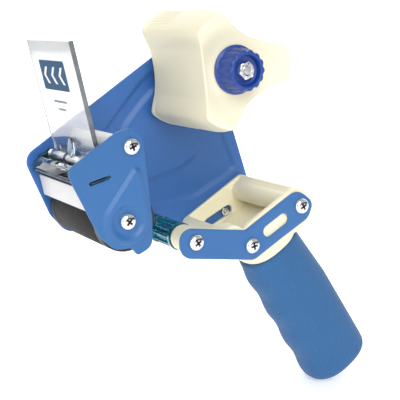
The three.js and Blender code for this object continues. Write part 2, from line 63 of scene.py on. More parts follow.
def new_mat(name, color, rough=0.5, metal=0.0, spec=0.5, coat=0.0, coat_rough=0.1, trans=0.0, ior=1.5, sheen=0.0,
            var=0.06, var_scale=60.0, rough_var=0.08, rough_scale=200.0, bump=0.0, bump_scale=800.0, bump_dist=0.0002,
            bump2=0.0, bump2_scale=2500.0, wear=None, dirt=0.0, alpha=1.0, aniso=False, voronoi=False):
    m = bpy.data.materials.new(name)
    m.use_nodes = True
    nt = m.node_tree
    for n in list(nt.nodes):
        nt.nodes.remove(n)
    out = nt.nodes.new("ShaderNodeOutputMaterial")
    b = nt.nodes.new("ShaderNodeBsdfPrincipled")
    nt.links.new(b.outputs[0], out.inputs[0])
    b.inputs["Metallic"].default_value = metal
    b.inputs["IOR"].default_value = ior
    b.inputs["Specular IOR Level"].default_value = spec
    b.inputs["Coat Weight"].default_value = coat
    b.inputs["Coat Roughness"].default_value = coat_rough
    b.inputs["Transmission Weight"].default_value = trans
    b.inputs["Alpha"].default_value = alpha
    if sheen:
        b.inputs["Sheen Weight"].default_value = sheen
        b.inputs["Sheen Roughness"].default_value = 0.5
    tc = nt.nodes.new("ShaderNodeTexCoord")
    # colour with slow variation
    n1 = nt.nodes.new("ShaderNodeTexNoise")
    n1.inputs["Scale"].default_value = var_scale
    n1.inputs["Detail"].default_value = 5
    nt.links.new(tc.outputs["Object"], n1.inputs["Vector"])
    ramp = nt.nodes.new("ShaderNodeValToRGB")
    c = np.array(color[:3], float)
    lo, hi = np.clip(c * (1 - var), 0, 1), np.clip(c * (1 + var), 0, 1)
    ramp.color_ramp.elements[0].position = 0.3
    ramp.color_ramp.elements[1].position = 0.7
    ramp.color_ramp.elements[0].color = (*lo, 1)
    ramp.color_ramp.elements[1].color = (*hi, 1)
    nt.links.new(n1.outputs["Fac"], ramp.inputs["Fac"])
    col = ramp.outputs["Color"]
    if wear is not None:      # polished or chipped convex edges
        g = nt.nodes.new("ShaderNodeNewGeometry")
        n3 = nt.nodes.new("ShaderNodeTexNoise")
        n3.inputs["Scale"].default_value = 900
        n3.inputs["Detail"].default_value = 6
        nt.links.new(tc.outputs["Object"], n3.inputs["Vector"])
        add = nt.nodes.new("ShaderNodeMath")
        add.operation = "MULTIPLY_ADD"
        nt.links.new(n3.outputs["Fac"], add.inputs[0])
        add.inputs[1].default_value = 0.12
        nt.links.new(g.outputs["Pointiness"], add.inputs[2])
        r2 = nt.nodes.new("ShaderNodeValToRGB")
        r2.color_ramp.elements[0].position = wear[3]
        r2.color_ramp.elements[1].position = wear[3] + 0.06
        r2.color_ramp.elements[0].color = (0, 0, 0, 1)
        r2.color_ramp.elements[1].color = (1, 1, 1, 1)
        nt.links.new(add.outputs[0], r2.inputs["Fac"])
        mx = nt.nodes.new("ShaderNodeMix")
        mx.data_type = "RGBA"
        nt.links.new(r2.outputs["Color"], mx.inputs["Factor"])
        nt.links.new(col, mx.inputs["A"])
        mx.inputs["B"].default_value = (*wear[:3], 1)
        col = mx.outputs["Result"]
    nt.links.new(col, b.inputs["Base Color"])
    n2 = nt.nodes.new("ShaderNodeTexNoise")
    n2.inputs["Scale"].default_value = rough_scale
    n2.inputs["Detail"].default_value = 4
    if aniso:
        mp = nt.nodes.new("ShaderNodeMapping")
        mp.inputs["Scale"].default_value = (1, 0.04, 1)
        nt.links.new(tc.outputs["Object"], mp.inputs["Vector"])
        nt.links.new(mp.outputs["Vector"], n2.inputs["Vector"])
    else:
        nt.links.new(tc.outputs["Object"], n2.inputs["Vector"])
    mr = nt.nodes.new("ShaderNodeMapRange")
    mr.inputs["To Min"].default_value = max(0.0, rough - rough_var)
    mr.inputs["To Max"].default_value = min(1.0, rough + rough_var)
    nt.links.new(n2.outputs["Fac"], mr.inputs["Value"])
    nt.links.new(mr.outputs["Result"], b.inputs["Roughness"])
    prev = None
    for st, sc in ((bump, bump_scale), (bump2, bump2_scale)):
        if not st:
            continue
        if voronoi and sc == bump_scale:
            t = nt.nodes.new("ShaderNodeTexVoronoi")
            t.inputs["Scale"].default_value = sc
            o = t.outputs["Distance"]
        else:
            t = nt.nodes.new("ShaderNodeTexNoise")
            t.inputs["Scale"].default_value = sc
            t.inputs["Detail"].default_value = 3
            o = t.outputs["Fac"]
        nt.links.new(tc.outputs["Object"], t.inputs["Vector"])
        bp = nt.nodes.new("ShaderNodeBump")
        bp.inputs["Strength"].default_value = st
        bp.inputs["Distance"].default_value = bump_dist
        nt.links.new(o, bp.inputs["Height"])
        if prev is not None:
            nt.links.new(prev, bp.inputs["Normal"])
        prev = bp.outputs["Normal"]
    if prev is not None:
        nt.links.new(prev, b.inputs["Normal"])
        if coat:
            nt.links.new(prev, b.inputs["Coat Normal"])
    return m


M = {
    "blue": new_mat("blue_enamel", (0.025, 0.134, 0.368), 0.42, coat=0.22, coat_rough=0.22, var=0.05, var_scale=25, bump=0.10, bump_scale=420, bump_dist=0.0003, wear=(0.09, 0.23, 0.48, 0.62)),
    "cream": new_mat("cream_moulding", (0.900, 0.845, 0.630), 0.42, var=0.025, var_scale=20, bump=0.05, bump_scale=900, bump_dist=0.0002, rough_var=0.06),
    "foam": new_mat("blue_foam", (0.027, 0.119, 0.295), 0.92, sheen=0.12, var=0.16, var_scale=1500, bump=0.55, bump_scale=1300, bump_dist=0.0005, bump2=0.5, bump2_scale=520, rough_var=0.05, voronoi=True),
    "knob": new_mat("knob_moulding", (0.008, 0.050, 0.285), 0.36, var=0.05, bump=0.05, bump_scale=900, coat=0.15),
    "chrome": new_mat("chrome_plate", (0.84, 0.84, 0.86), 0.07, metal=1.0, var=0.02, rough_var=0.03, bump=0.02, bump_scale=300),
    # painted shade: near-black metal lining the screws' cross recesses, standing in for the shade inside them
    "recess": new_mat("screw_cross_painted_shade", (0.05, 0.05, 0.055), 0.35, metal=0.8, var=0.2, var_scale=900, rough_var=0.1, bump=0.08, bump_scale=900),
    # dark steel for the blade bridge; its deep blue tone is painted shade and painted reflection of the blue plates
    "bridge_shade_blue": new_mat("bridge_steel_painted_shade", (0.035, 0.075, 0.115), 0.24, metal=0.9, var=0.25, var_scale=140, rough_var=0.10, bump=0.05, bump_scale=600),
    # painted shade: a second copy of the blue enamel, toned to the far plate's look in shade; it is the same paint as
    # the near plates
    "far_blue_shade": new_mat("blue_enamel_far_shade", (0.030, 0.132, 0.415), 0.45, coat=0.18, coat_rough=0.25, var=0.05, var_scale=25, bump=0.10, bump_scale=420, bump_dist=0.0003, wear=(0.11, 0.25, 0.55, 0.62)),
    "zinc": new_mat("zinc_plate", (0.60, 0.60, 0.61), 0.27, metal=1.0, var=0.08, var_scale=150, rough_var=0.10, bump=0.06, bump_scale=700),
    "blade": new_mat("blade_steel", (0.16, 0.18, 0.21), 0.28, metal=1.0, var=0.15, var_scale=120, rough_var=0.12, aniso=True),
    "white": new_mat("white_moulding", (0.74, 0.735, 0.745), 0.38, var=0.015, bump=0.03, bump_scale=500),
    "rubber": new_mat("roller_rubber", (0.007, 0.007, 0.0073), 0.74, var=0.18, var_scale=90, rough_var=0.10, bump=0.25, bump_scale=1400, bump_dist=0.0002),
    "black": new_mat("black_moulding", (0.010, 0.010, 0.011), 0.45, var=0.15, bump=0.06, bump_scale=900),
    "clear": new_mat("clear_acrylic", (0.985, 0.995, 1.0), 0.02, trans=1.0, ior=1.49, var=0.004, rough_var=0.015, rough_scale=30),
    "flap": new_mat("flap_acrylic", (0.93, 0.95, 0.965), 0.03, trans=0.97, ior=1.49, var=0.004, rough_var=0.015, rough_scale=30),
    # painted shade: a dark tint for the clear flap's edge faces
    "flap_edge_shade": new_mat("flap_rim_painted_shade", (0.20, 0.225, 0.24), 0.15, trans=0.35, ior=1.49, var=0.25, var_scale=120, rough_var=0.05),
    "clearblue": new_mat("clear_guard", (0.76, 0.90, 0.99), 0.04, trans=1.0, ior=1.5, var=0.01, rough_var=0.03, rough_scale=80, bump=0.05, bump_scale=120, bump_dist=0.0005),
    "teal": new_mat("teal_translucent", (0.02, 0.36, 0.47), 0.07, trans=0.86, ior=1.5, var=0.10, var_scale=80, rough_var=0.04, coat=0.5, coat_rough=0.05),
    "print_blue": new_mat("print_blue", (0.030, 0.095, 0.190), 0.6, var=0.03, bump=0.03, spec=0.15),
    "print_white": new_mat("print_white", (0.86, 0.88, 0.90), 0.5, var=0.02, bump=0.03),
    "print_grey": new_mat("print_grey", (0.24, 0.27, 0.30), 0.6, var=0.03, bump=0.03, spec=0.15),
}


def add_painted_lit_fade(m, z0, z1, t0, t1):
    """painted light: transmission falls from t0 at height z0 to t1 at z1, as the sheet is brightly lit above."""
    nt = m.node_tree
    b = next(n for n in nt.nodes if n.type == "BSDF_PRINCIPLED")
    tc = next(n for n in nt.nodes if n.type == "TEX_COORD")
    sp = nt.nodes.new("ShaderNodeSeparateXYZ")
    nt.links.new(tc.outputs["Object"], sp.inputs[0])
    mr = nt.nodes.new("ShaderNodeMapRange")
    mr.interpolation_type = "SMOOTHSTEP"
    mr.inputs["From Min"].default_value = z0
    mr.inputs["From Max"].default_value = z1
    mr.inputs["To Min"].default_value = t0
    mr.inputs["To Max"].default_value = t1
    nt.links.new(sp.outputs["Z"], mr.inputs["Value"])
    nt.links.new(mr.outputs["Result"], b.inputs["Transmission Weight"])


# painted light: the flap grows less clear towards its top, where it is brightly lit
add_painted_lit_fade(M["flap"], (SH[2] - 44) / 1000, (SH[2] - 24) / 1000, 0.96, 0.62)


# ------------------------------------------------------------------- builders
def finish_mesh(name, bm, mat, body, nodes=(), smooth=35):
    bmesh.ops.recalc_face_normals(bm, faces=bm.faces)
    me = bpy.data.meshes.new(name)
    bm.to_mesh(me)
    bm.free()
    me.polygons.foreach_set("use_smooth", [True] * len(me.polygons))
    me.set_sharp_from_angle(angle=math.radians(smooth))
    me.materials.append(M[mat])
    ob = bpy.data.objects.new(name, me)
    bpy.context.scene.collection.objects.link(ob)
    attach(ob, body)
    if nodes:
        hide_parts(*nodes)
    return ob


def build(name, V, F, mat, body, nodes=(), smooth=35, merge=True):
    bm = bmesh.new()
    vs = [bm.verts.new(W(v)) for v in V]
    for f in F:
        if len(set(f)) > 2:
            try:
                bm.faces.new([vs[i] for i in f])
            except ValueError:
                pass
    if merge:
        bmesh.ops.remove_doubles(bm, verts=bm.verts, dist=2e-6)
    return finish_mesh(name, bm, mat, body, nodes, smooth)


def loft_vf(rings, closed=False, cap=True):
    n = len(rings[0])
    V = [p for r in rings for p in r]
    F = []
    m = len(rings)
    for j in range(m if closed else m - 1):
        a, b = j * n, ((j + 1) % m) * n
        for i in range(n):
            k = (i + 1) % n
            F.append((a + i, a + k, b + k, b + i))
    if not closed and cap:
        for j in (0, m - 1):
            c = len(V)
            V.append(tuple(np.mean(np.array(rings[j]), axis=0)))
            for i in range(n):
                F.append((c, j * n + i, j * n + (i + 1) % n))
    return V, F


def lathe(profile, c, seg=96, closed=False):
    """profile [(r, y)], about the Y-parallel axis through (x, z)."""
    rings = []
    for r, y in profile:
        rings.append([(c[0] + r * math.cos(2 * math.pi * i / seg), y, c[1] + r * math.sin(2 * math.pi * i / seg)) for i in range(seg)])
    return loft_vf(rings, closed=closed, cap=not closed)


def arc(cx, cy, r, a0, a1, n):
    return [(cx + r * math.cos(math.radians(a0 + (a1 - a0) * i / n)), cy + r * math.sin(math.radians(a0 + (a1 - a0) * i / n))) for i in range(n + 1)]


def rounded(pts, n=8):
    out = []
    L = len(pts)
    for i, p in enumerate(pts):
        r = p[2] if len(p) > 2 else 0
        if not r:
            out.append((p[0], p[1]))
            continue
        a, b = pts[i - 1], pts[(i + 1) % L]
        P = np.array(p[:2], float)
        u, v = np.array(a[:2]) - P, np.array(b[:2]) - P
        lu, lv = np.linalg.norm(u), np.linalg.norm(v)
        u, v = u / lu, v / lv
        half = math.acos(max(-1, min(1, float(u @ v)))) / 2
        t = min(r / math.tan(half), 0.48 * min(lu, lv))
        rr = t * math.tan(half)
        w = (u + v) / np.linalg.norm(u + v)
        c = P + w * rr / math.sin(half)
        s, e = P + u * t, P + v * t
        a0 = math.atan2(s[1] - c[1], s[0] - c[0])
        da = (math.atan2(e[1] - c[1], e[0] - c[0]) - a0 + math.pi) % (2 * math.pi) - math.pi
        for k in range(n + 1):
            out.append((c[0] + rr * math.cos(a0 + da * k / n), c[1] + rr * math.sin(a0 + da * k / n)))
    return np.array(out)


def ccw(P, want=True):
    P = np.asarray(P, float)
    a = np.sum(P[:, 0] * np.roll(P[:, 1], -1) - np.roll(P[:, 0], -1) * P[:, 1])
    return P if (a > 0) == want else P[::-1].copy()


def resample(P, step):
    out = []
    for i in range(len(P)):
        a, b = P[i], P[(i + 1) % len(P)]
        k = max(1, int(np.ceil(np.linalg.norm(b - a) / step)))
        for j in range(k):
            out.append(a + (b - a) * j / k)
    return np.array(out)


def inset(P, d):
    """moves a loop by d to its left (into a CCW outline)."""
    e = np.roll(P, -1, 0) - P
    e = e / np.maximum(np.linalg.norm(e, axis=1, keepdims=True), 1e-9)
    n = np.stack([-e[:, 1], e[:, 0]], 1)
    v = n + np.roll(n, 1, 0)
    v = v / np.maximum(np.linalg.norm(v, axis=1, keepdims=True), 1e-9)
    s = 1.0 / np.maximum(np.sum(v * n, 1, keepdims=True), 0.5)
    return P + v * s * d


def sdf(P, pts):
    """distance to the loop, positive inside."""
    d = np.full(len(pts), 1e9)
    ins = np.zeros(len(pts), bool)
    for i in range(len(P)):
        a, b = P[i], P[(i + 1) % len(P)]
        ab, ap = b - a, pts - a
        t = np.clip((ap @ ab) / max(ab @ ab, 1e-12), 0, 1)
        d = np.minimum(d, np.linalg.norm(ap - t[:, None] * ab, axis=1))
        if (a[1] > b[1]) != (b[1] > a[1]) or a[1] != b[1]:
            c = (a[1] > pts[:, 1]) != (b[1] > pts[:, 1])
            with np.errstate(divide="ignore", invalid="ignore"):
                x = (b[0] - a[0]) * (pts[:, 1] - a[1]) / (b[1] - a[1]) + a[0]
            ins ^= c & (pts[:, 0] < x)
    return np.where(ins, d, -d)


def sm(t):
    t = np.clip(t, 0, 1)
    return t * t * (3 - 2 * t)


def sheet(name, outline, holes, y0, y1, hfun, step, mat, body, nodes, er=0.45, hr=0.25):
    """stamped sheet metal: outline and holes in x-z, pressed by hfun along Y, rounded edges."""
    loops = [(ccw(resample(np.asarray(outline, float), step)), er)] + [(ccw(resample(np.asarray(h, float), step * 0.7), False), hr) for h in holes]
    inner = [inset(L, r) for L, r in loops]
    lo, hi = loops[0][0].min(0), loops[0][0].max(0)
    gx, gz = np.meshgrid(np.arange(lo[0], hi[0], step), np.arange(lo[1], hi[1], step * 0.866))
    gx = gx + (np.arange(gx.shape[0]) % 2)[:, None] * step / 2
    G = np.stack([gx.ravel(), gz.ravel()], 1)
    keep = sdf(inner[0], G) > step * 0.45
    for L in inner[1:]:
        keep &= sdf(L, G) < -step * 0.4
    G = G[keep]
    pts = np.concatenate(inner + [G])
    edges, o = [], 0
    starts = []
    for L in inner:
        starts.append(o)
        edges += [(o + i, o + (i + 1) % len(L)) for i in range(len(L))]
        o += len(L)
    rv, re_, rf, ov, oe, of_ = delaunay_2d_cdt([Vector(p) for p in pts], edges, [], 0, 1e-7)
    P2 = np.array([tuple(v) for v in rv])
    back = {}
    for k, src in enumerate(ov):
        for s in src:
            back[s] = k
    F = [tuple(f) for f in rf]
    C = np.array([P2[list(f)].mean(0) for f in F])
    ok = sdf(inner[0], C) > 0
    for L in inner[1:]:
        ok &= sdf(L, C) < 0
    F = [f for f, k in zip(F, ok) if k]
    H = hfun(P2)
    V = [(p[0], y1 + h, p[1]) for p, h in zip(P2, H)] + [(p[0], y0 + h, p[1]) for p, h in zip(P2, H)]
    n0 = len(P2)
    faces = [f for f in F] + [tuple(i + n0 for i in reversed(f)) for f in F]
    for (L, r), st, I in zip(loops, starts, inner):
        n = len(L)
        rows = [[back[st + i] for i in range(n)]]
        for off, dy, top in ((0.29, 0.29, 1), (0.0, 1.0, 1), (0.0, 1.0, 0), (0.29, 0.29, 0)):
            Q = inset(L, r * off)
            h = hfun(Q)
            b0 = len(V)
            V += [(q[0], (y1 - r * dy if top else y0 + r * dy) + hh, q[1]) for q, hh in zip(Q, h)]
            rows.append([b0 + i for i in range(n)])
        rows.append([back[st + i] + n0 for i in range(n)])
        for a, b in zip(rows, rows[1:]):
            for i in range(n):
                k = (i + 1) % n
                faces.append((a[i], a[k], b[k], b[i]))
    return build(name, V, faces, mat, body, nodes, smooth=40)


def stadium(a, b, w, n=14):
    t = math.atan2(b[1] - a[1], b[0] - a[0])
    o = [(a[0] + w * math.cos(t + math.pi / 2 + math.pi * k / n), a[1] + w * math.sin(t + math.pi / 2 + math.pi * k / n)) for k in range(n + 1)]
    o += [(b[0] + w * math.cos(t - math.pi / 2 + math.pi * k / n), b[1] + w * math.sin(t - math.pi / 2 + math.pi * k / n)) for k in range(n + 1)]
    return np.array(o)


def circle(c, r, n=36):
    return np.array([(c[0] + r * math.cos(2 * math.pi * i / n), c[1] + r * math.sin(2 * math.pi * i / n)) for i in range(n)])


# --------------------------------------------------------------- steel plates
far_out = rounded([(114.6, -56.2, 9), (15.93, 10.0, 0), (15.0, 10.6, 0), (9.0, 13.9, 6), (2.0, 18.4, 8), (-5.7, 19.8, 10), (-14.0, 18.1, 10),
                   (-21.5, 12.6, 10), (-25.9, 4.6, 8), (-27.0, -2.0, 0), (-57.6, -90.2, 9), (-46.5, -101.8, 6), (-16.7, -119.9, 5), (-7.6, -120.4, 8),
                   (32.0, -115.6, 10), (60, -109.0, 12), (86.5, -107.4, 12), (97.2, -95.2, 10)])
press_out = rounded([(15.0, 3.0, 12), (31.4, -9.9, 25), (49.2, -30.3, 40), (60.5, -44.5, 14), (59.0, -70, 20), (43, -97.5, 12), (9.5, -95.2, 30), (-10.5, -93.5, 22),
                     (-38.2, -78.9, 8), (-44.6, -74.8, 5), (-43.2, -68.2, 8), (-33.9, -47.6, 30), (-20.0, -6.0, 14), (-9.0, 6.5, 12), (3.0, 9.5, 10)])
press_in = rounded([(20.0, -12.8, 10), (31.6, -24.1, 20), (44.3, -38.9, 16), (48.0, -52, 20), (40.0, -78, 14), (25.4, -79.2, 20), (1.5, -73.0, 26), (-11.1, -65.8, 16), (-17.2, -57.5, 12), (-14.0, -40, 20), (-6, -14, 14)])


def far_h(P):
    return -2.0 * sm((sdf(press_out, P) + 0.5) / 3.4) + 2.0 * sm((sdf(press_in, P) + 0.5) / 3.8)


tab_slot = np.array([(102.6, -64.55), (102.6, -62.5), (89.3, -58.9), (89.3, -60.95)])
Q = "frame_plate"
# the far plate takes the painted-shade copy of the blue enamel
far_plate = sheet(Q + "_pressed", far_out, [circle((0, 0), 3.4), tab_slot], FAR_OUT, FAR_IN, far_h, 1.25, "far_blue_shade", "frame", ["frame_plate"])

near_out = rounded([(76.5, -31.6, 7), (86.0, -34.4, 5), (95.6, -40.8, 6), (102, -44.8, 0), (116.4, -54.6, 8), (113.8, -62.0, 4), (96.4, -96.2, 12), (86.5, -104.4, 10),
                    (76.2, -104.2, 2.5), (72.0, -109.2, 2.5), (62.2, -104.6, 7), (62.0, -88, 6), (64.9, -63.6, 10), (68.2, -36.2, 8)])


def capsule(P, a, ra, b, rb):
    """distance inside the hull of two circles, negative outside."""
    a, b = np.array(a, float), np.array(b, float)
    L = np.linalg.norm(b - a)
    u = (b - a) / L
    q = P - a
    y, x = q @ u, np.abs(q @ np.array([-u[1], u[0]]))
    c = (ra - rb) / L
    e = math.sqrt(1 - c * c)
    k = -c * x + e * y
    d = np.where(k < 0, np.hypot(x, y) - ra, np.where(k > e * L, np.hypot(x, y - L) - rb, e * x + c * y - ra))
    return -d


def near_h(P):
    t = capsule(P, (73.0, -58.4), 3.0, (ROLLER[0], ROLLER[1] + 0.4), 15.6)
    d = np.linalg.norm(P - np.array(ROLLER), axis=1)
    return 1.7 * sm((t + 0.2) / 2.6) - 1.7 * sm((11.6 - d) / 3.4)


def slot_outline(w):
    a, b = np.array((101.6, -63.35)), np.array((90.0, -60.2))
    return stadium(tuple(a), tuple(b), w)


side_plate = sheet("side_plate_pressed", near_out, [slot_outline(1.15)], NEAR_IN, NEAR_OUT, near_h, 0.9, "blue", "frame", ["side_plate"])

bracket = rounded([(43.6, -95.3, 9.3), (43.2, -114.6, 9.3), (-11.0, -121.6, 8), (-31.0, -110.0, 0), (-52.6, -98.0, 9.2), (-57.4, -87.6, 9.2), (-43.6, -78.2, 9.2), (-4.2, -101.4, 7)])
handle_bracket = sheet("handle_bracket_strap", bracket, [stadium((-33.0, -97.0), (-21.6, -103.6), 3.9)], NEAR_IN, NEAR_OUT, lambda P: np.zeros(len(P)), 1.6, "blue", "frame", ["handle_bracket"])

# ------------------------------------------------------------------- tape hub
R, WAIST, HALF, TURN = 38.0, 23.0, 17.2, 7.24
NH = 480


def hub_r(R, waist, half, blur=3.2):
    th = np.arange(720) * 0.5
    a = np.abs((th - (180 - TURN) + 60) % 120 - 60)       # angle from the nearest lobe's middle
    h = math.radians(half)
    hh, s = R * math.cos(math.pi / 3 - h), R * math.sin(math.pi / 3 - h)
    sag = hh - waist
    rr = (s * s + sag * sag) / (2 * sag)
    cc = waist + rr
    b = np.radians(60 - a)
    disc = np.clip((cc * np.cos(b)) ** 2 - (cc * cc - rr * rr), 0, None)
    flank = cc * np.cos(b) - np.sqrt(disc)
    r = np.where(a <= half, R, np.minimum(R, flank))
    k = np.exp(-0.5 * (np.arange(-24, 25) * 0.5 / blur) ** 2)
    k /= k.sum()
    r = np.convolve(np.concatenate([r[-24:], r, r[:24]]), k, "valid")
    return np.interp(np.arange(NH) * 360.0 / NH, th, r, period=360.0)


ang = np.radians(np.arange(NH) * 360.0 / NH)
ca, sa = np.cos(ang), np.sin(ang)
RO, RI = hub_r(R, WAIST, HALF, 2.6), hub_r(R - 2.6, WAIST - 2.6, HALF - 1.5, 2.0)


def ring(r, y):
    r = np.broadcast_to(r, (NH,))
    y = np.broadcast_to(y, (NH,))
    return [(float(r[i] * ca[i]), float(y[i]), float(r[i] * sa[i])) for i in range(NH)]


def dish(r):
    return -6.4 * (1 - sm((np.asarray(r, float) - 17.0) / 19.5))


a0 = np.abs((np.degrees(ang) - (180 - TURN) + 60) % 120 - 60)
rib_a = np.cos(np.radians((np.degrees(ang) - (180 - TURN)) * 360 / 3.75)) * sm((14.2 - a0) / 2.0)


lobe = np.clip((RO - 29) / 8.0, 0, 1)


def body_ring(y, swell, on=0.0, d=0.0):
    return ring(RO * (1 + swell * lobe) + 0.30 * rib_a * on - d * lobe, y)


rings = [ring(3.35, -6.4), ring(8, -6.4), ring(15.9, -6.4)]
for t in np.linspace(0.04, 1, 14):
    rr = 15.9 + (RO * 0.965 - 15.9) * t
    rings.append(ring(rr, dish(rr)))
rim = dish(RO * 0.965)
rings += [ring(RO * 0.965 + RO * 0.035 * math.sin(math.radians(a)), rim - 1.3 + 1.3 * math.cos(math.radians(a))) for a in (20, 40, 60, 78, 90)]
rings += [ring(RO * (1 + k * lobe), rim - 1.3 + (-9 - rim + 1.3) * t) for t, k in ((0.3, 0.012), (0.65, 0.028), (1, 0.040))]
rings += [body_ring(y, k) for y, k in ((-12, 0.050), (-15, 0.057), (-18, 0.060), (-24, 0.061), (-30, 0.061), (-37.5, 0.061))]
rings += [body_ring(-38.6, 0.061, 0.5), body_ring(-39.8, 0.061, 1)] + [body_ring(y, 0.061, 1) for y in (-44, -50, -56, -62, -66.2)] + [body_ring(-67.2, 0.060, 0.4)]
rings += [body_ring(-67.8, 0.045), body_ring(-68.4, 0.038), body_ring(-69.0, 0.045), body_ring(-69.6, 0.066), body_ring(-70.4, 0.070), body_ring(-72.4, 0.070), body_ring(-73.2, 0.060), ring(RO - 0.9, -73.5), ring(RI, -73.2), ring(RI, -72.4)]
rings += [ring(RI, y) for y in (-60, -40, -20, -13)]
rings += [ring(RI * 0.94, -11.0), ring(RI * 0.8, -10.6), ring(10.0, -10.6), ring(8.2, -11.2), ring(8.0, -13), ring(8.0, -71.8), ring(7.4, -72.5), ring(3.9, -72.5), ring(3.35, -72.0)]
V, F = loft_vf(rings, closed=True)
hub = build("tape_hub_moulding", V, F, "cream", "hub", ["tape_hub"], smooth=38)

# ----------------------------------------------------------------- drag knob
NK = 240
ak = np.arange(NK) * 2 * math.pi / NK
flute = (0.5 - 0.5 * np.cos(14 * ak)) ** 1.4


def kring(r, d, y):
    rr = r - d * flute
    return [(float(rr[i] * math.cos(ak[i])), y, float(rr[i] * math.sin(ak[i]))) for i in range(NK)]


kr = [kring(3.4, 0, -4.6), kring(3.4, 0, 4.2), kring(5.9, 0, 4.2), kring(6.4, 0, 4.3), kring(8.5, 0, 4.3), kring(8.9, 0, 4.6), kring(9.5, 0, 8.0), kring(9.8, 0, 8.6), kring(10.2, 0, 8.92),
      kring(10.6, 0.1, 9.0), kring(11.6, 0.45, 8.8), kring(12.4, 0.9, 8.3), kring(12.9, 1.15, 7.5), kring(13.15, 1.25, 6.0), kring(13.5, 1.25, 2.5), kring(13.9, 1.2, -1.5), kring(14.0, 1.0, -3.0), kring(14.1, 0.4, -3.7), kring(14.5, 0.1, -4.1),
      kring(15.2, 0, -4.3), kring(15.5, 0, -4.6), kring(15.5, 0, -5.6), kring(15.3, 0, -5.9), kring(14.8, 0, -6.0), kring(7.1, 0, -6.0), kring(7.0, 0, -5.8), kring(7.0, 0, 1.4), kring(6.5, 0, 1.4), kring(3.5, 0, 1.4)]
kr = kr[1:]
V, F = loft_vf(kr, closed=True)
knob = build("tension_knob_fluted", V, F, "knob", "knob", ["tension_knob"], smooth=40)


def nut(name, c, y0, y1, af, hole, mat, node, ph=0.2, body="frame", outer_sign=1):
    n = 96
    a = np.arange(n) * 2 * math.pi / n
    b = (a - ph + math.pi / 6) % (math.pi / 3) - math.pi / 6
    Rh = af / 2 / np.cos(b)
    rc = af / 2 * 0.985
    rows = []

    def rw(r, y):
        r = np.broadcast_to(r, (n,))
        y = np.broadcast_to(y, (n,))
        return [(float(c[0] + r[i] * math.cos(a[i])), float(y[i]), float(c[1] + r[i] * math.sin(a[i]))) for i in range(n)]
    drop = np.clip((Rh - rc) * 0.4, 0, None)
    if hole:
        rows = [rw(hole, y0 + 0.5), rw(hole + 0.45, y0), rw(rc * 0.98, y0), rw(Rh * 0.995, y0 + 0.08 + drop), rw(Rh, y0 + 0.2 + drop), rw(Rh, y1 - 0.2 - drop), rw(Rh * 0.995, y1 - 0.08 - drop), rw(rc * 0.98, y1), rw(hole + 0.45, y1), rw(hole, y1 - 0.5)]
        V, F = loft_vf(rows, closed=True)
    else:
        rows = [rw(rc * 0.98, y0), rw(Rh * 0.995, y0 + 0.08 + drop), rw(Rh, y0 + 0.2 + drop), rw(Rh, y1 - 0.05)]
        V, F = loft_vf(rows)
    return build(name, V, F, mat, body, node, smooth=25)


nut("knob_nut_hex", (0, 0), 4.5, 8.2, 10.0, 2.98, "chrome", ["knob_nut"])
nut("hub_lock_nut_hex", (0, 0), -77.7, -74.2, 10.0, 2.98, "zinc", ["hub_lock_nut"])


def threaded(name, c, y0, y1, r, pitch, mat, node, body="frame", head=None, seg=48):
    rings = []
    ny = int((y1 - y0) / pitch * 8)
    for j in range(ny + 1):
        y = y0 + (y1 - y0) * j / ny
        row = []
        for i in range(seg):
            a = 2 * math.pi * i / seg
            ph = (y / pitch - i / seg) % 1.0
            d = 0.38 * abs(2 * ph - 1) ** 0.8
            e = max(0.0, 1 - (y1 - y) / 0.7) * 0.75
            rr = r - d * (1 if y > y0 + 0.5 else 0) - e
            row.append((c[0] + rr * math.cos(a), y, c[1] + rr * math.sin(a)))
        rings.append(row)
    return loft_vf(rings)


V1, F1 = threaded("t", (0, 0), 3.0, 8.6, 2.95, 1.0, "zinc", None)
V2, F2 = lathe([(2.9, -79.8), (2.9, 3.0)], (0, 0), 48)
n0 = len(V1)
hub_bolt = build("hub_bolt_threaded", V1 + V2, F1 + [tuple(i + n0 for i in f) for f in F2], "zinc", "frame", ["hub_bolt"], smooth=30)
nut("hub_bolt_head", (0, 0), -83.9, -79.75, 10.0, None, "zinc", [], ph=0.0)

